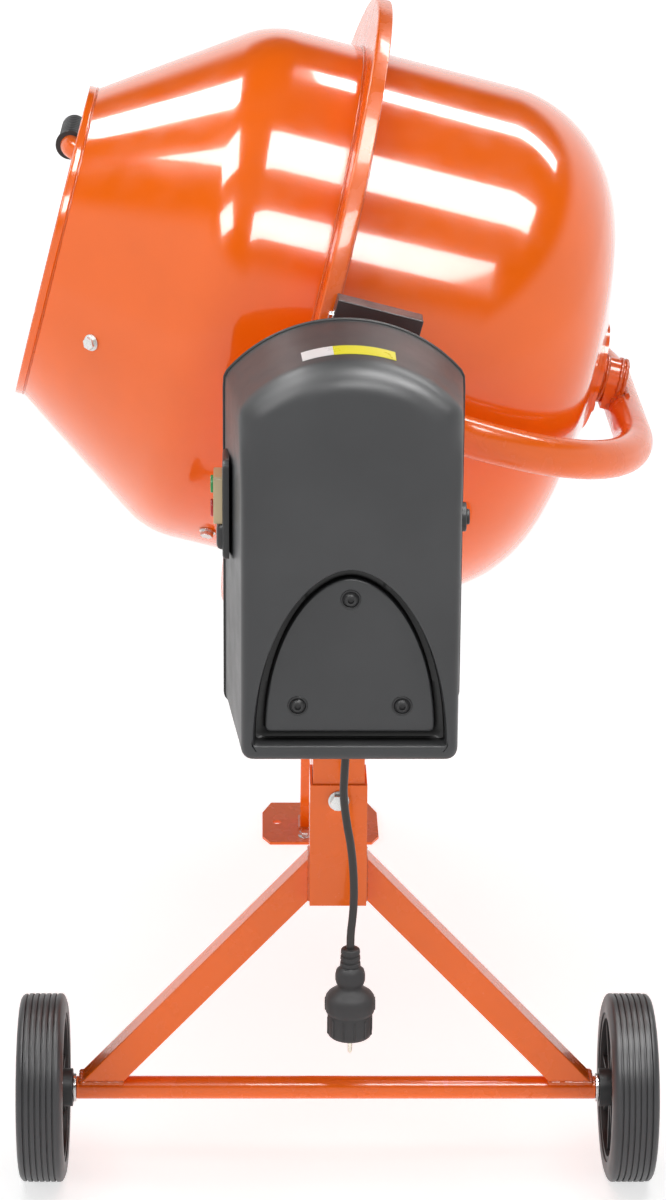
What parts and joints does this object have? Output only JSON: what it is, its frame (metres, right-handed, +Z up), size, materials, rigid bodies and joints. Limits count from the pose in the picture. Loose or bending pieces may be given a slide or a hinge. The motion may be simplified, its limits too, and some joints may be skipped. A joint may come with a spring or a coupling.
{
  "type": "concrete mixer",
  "caption": "Electric tilting-drum concrete mixer on a wheeled stand, with ring-gear drive, covered motor and tilt lever.",
  "frame": {"origin": "on the floor, at the middle of the footprint: the bottom centre of the bounding box", "axes": "+Z up, +Y from the motor side to the foot plate side, -X the pouring side, where the mouth points"},
  "size_m": [0.709, 1.2314, 1.2111],
  "materials": {
    "frame_paint": "gloss enamel",
    "drum_paint": "gloss enamel",
    "gear_paint": "satin enamel over a cast ring",
    "guard_paint": "satin",
    "cover_plastic": "satin moulded plastic",
    "rim_plastic": "satin moulded plastic",
    "cap_plastic": "gloss",
    "black_plastic": "satin",
    "cord_rubber": "satin",
    "belt_rubber": "matte",
    "tyre_rubber": "matte",
    "blank_sticker": "gloss, no print",
    "green_button": "gloss",
    "red_button": "gloss",
    "zinc_steel": "zinc plated",
    "plug_brass": "nickel-plated",
    "cast_pinion": "greased cast teeth",
    "motor_alloy": "cast"
  },
  "bodies": {
    "stand": {"near_sleeve": "frame_paint", "beam": "frame_paint", "far_sleeve": "frame_paint", "far_leg": "frame_paint", "foot_plate": "frame_paint", "left_leg": "frame_paint", "right_leg": "frame_paint", "axle_tube": "frame_paint", "axle_rod": "zinc_steel", "near_upright": "frame_paint", "far_upright": "frame_paint", "near_bearing_block": "frame_paint", "far_bearing_block": "frame_paint", "frame_bolts": "zinc_steel", "axle_washers": "zinc_steel", "back_plate": "frame_paint", "motor_cover": "cover_plastic", "cover_screws": "black_plastic", "motor_body": "motor_alloy", "drive_belt": "belt_rubber", "switch_box": "cover_plastic", "reset_housing": "cover_plastic", "cover_stickers": "blank_sticker", "cord_gland": "black_plastic", "power_cord": "cord_rubber", "plug_body": "black_plastic", "plug_pins": "plug_brass", "latch_bracket": "frame_paint"},
    "yoke": {"yoke_tube": "frame_paint", "near_trunnion": "zinc_steel", "far_trunnion": "zinc_steel", "bearing_housing": "frame_paint", "gear_guard": "guard_paint", "guard_screws": "zinc_steel", "locking_disc": "zinc_steel", "tilt_lever": "frame_paint", "lever_grip": "black_plastic"},
    "drum": {"drum_cone": "drum_paint", "drum_bowl": "drum_paint", "mouth_rim": "drum_paint", "ring_gear": "gear_paint", "mixing_blades": "drum_paint", "blade_bolts": "zinc_steel", "drum_hub": "drum_paint", "drum_shaft": "zinc_steel"},
    "pinion_drive": {"pinion": "cast_pinion", "pinion_shaft": "zinc_steel", "large_pulley": "motor_alloy"},
    "motor_rotor": {"motor_shaft": "zinc_steel"},
    "left_wheel": {"left_tyre": "tyre_rubber", "left_rim": "rim_plastic", "left_hub_cap": "cap_plastic"},
    "right_wheel": {"right_tyre": "tyre_rubber", "right_rim": "rim_plastic", "right_hub_cap": "cap_plastic"},
    "start_key": {"start_button": "green_button"},
    "stop_key": {"stop_button": "red_button"},
    "reset_key": {"reset_button": "black_plastic"},
    "latch": {"latch_pin": "zinc_steel"}
  },
  "joints": [
    {"name": "yoke_tilt", "type": "hinge", "parent": "stand", "child": "yoke", "pos_m": [0.00372, -0.0295, 0.864], "axis": [0, 1, 0], "range_deg": [-60, 60]},
    {"name": "drum_spin", "type": "hinge", "parent": "yoke", "child": "drum", "pos_m": [0.00372, -0.0295, 0.864], "axis": [0.9681, 0, -0.2504], "continuous": true},
    {"name": "pinion_spin", "type": "hinge", "parent": "yoke", "child": "pinion_drive", "pos_m": [0.00372, -0.4395, 0.864], "axis": [0, 1, 0], "continuous": true},
    {"name": "motor_spin", "type": "hinge", "parent": "stand", "child": "motor_rotor", "pos_m": [0.00372, -0.5545, 0.652], "axis": [0, 1, 0], "continuous": true},
    {"name": "left_wheel_spin", "type": "hinge", "parent": "stand", "child": "left_wheel", "pos_m": [-0.31328, -0.4395, 0.1015], "axis": [1, 0, 0], "continuous": true},
    {"name": "right_wheel_spin", "type": "hinge", "parent": "stand", "child": "right_wheel", "pos_m": [0.32072, -0.4395, 0.1015], "axis": [1, 0, 0], "continuous": true},
    {"name": "start_press", "type": "slide", "parent": "stand", "child": "start_key", "axis": [1, 0, 0], "range_m": [0, 0.0025], "stiffness_N_per_m": 1200, "springref_m": -0.001},
    {"name": "stop_press", "type": "slide", "parent": "stand", "child": "stop_key", "axis": [1, 0, 0], "range_m": [0, 0.0025], "stiffness_N_per_m": 1200, "springref_m": -0.001},
    {"name": "reset_press", "type": "slide", "parent": "stand", "child": "reset_key", "axis": [-1, 0, 0], "range_m": [0, 0.0025], "stiffness_N_per_m": 1200, "springref_m": -0.001},
    {"name": "latch_slide", "type": "slide", "parent": "stand", "child": "latch", "axis": [0, 0, 1], "range_m": [0, 0.012]}
  ],
  "couplings": [
    {"joint": "pinion_spin", "follows": "drum_spin", "ratio": -11.167},
    {"joint": "motor_spin", "follows": "drum_spin", "ratio": -85.079}
  ]
}
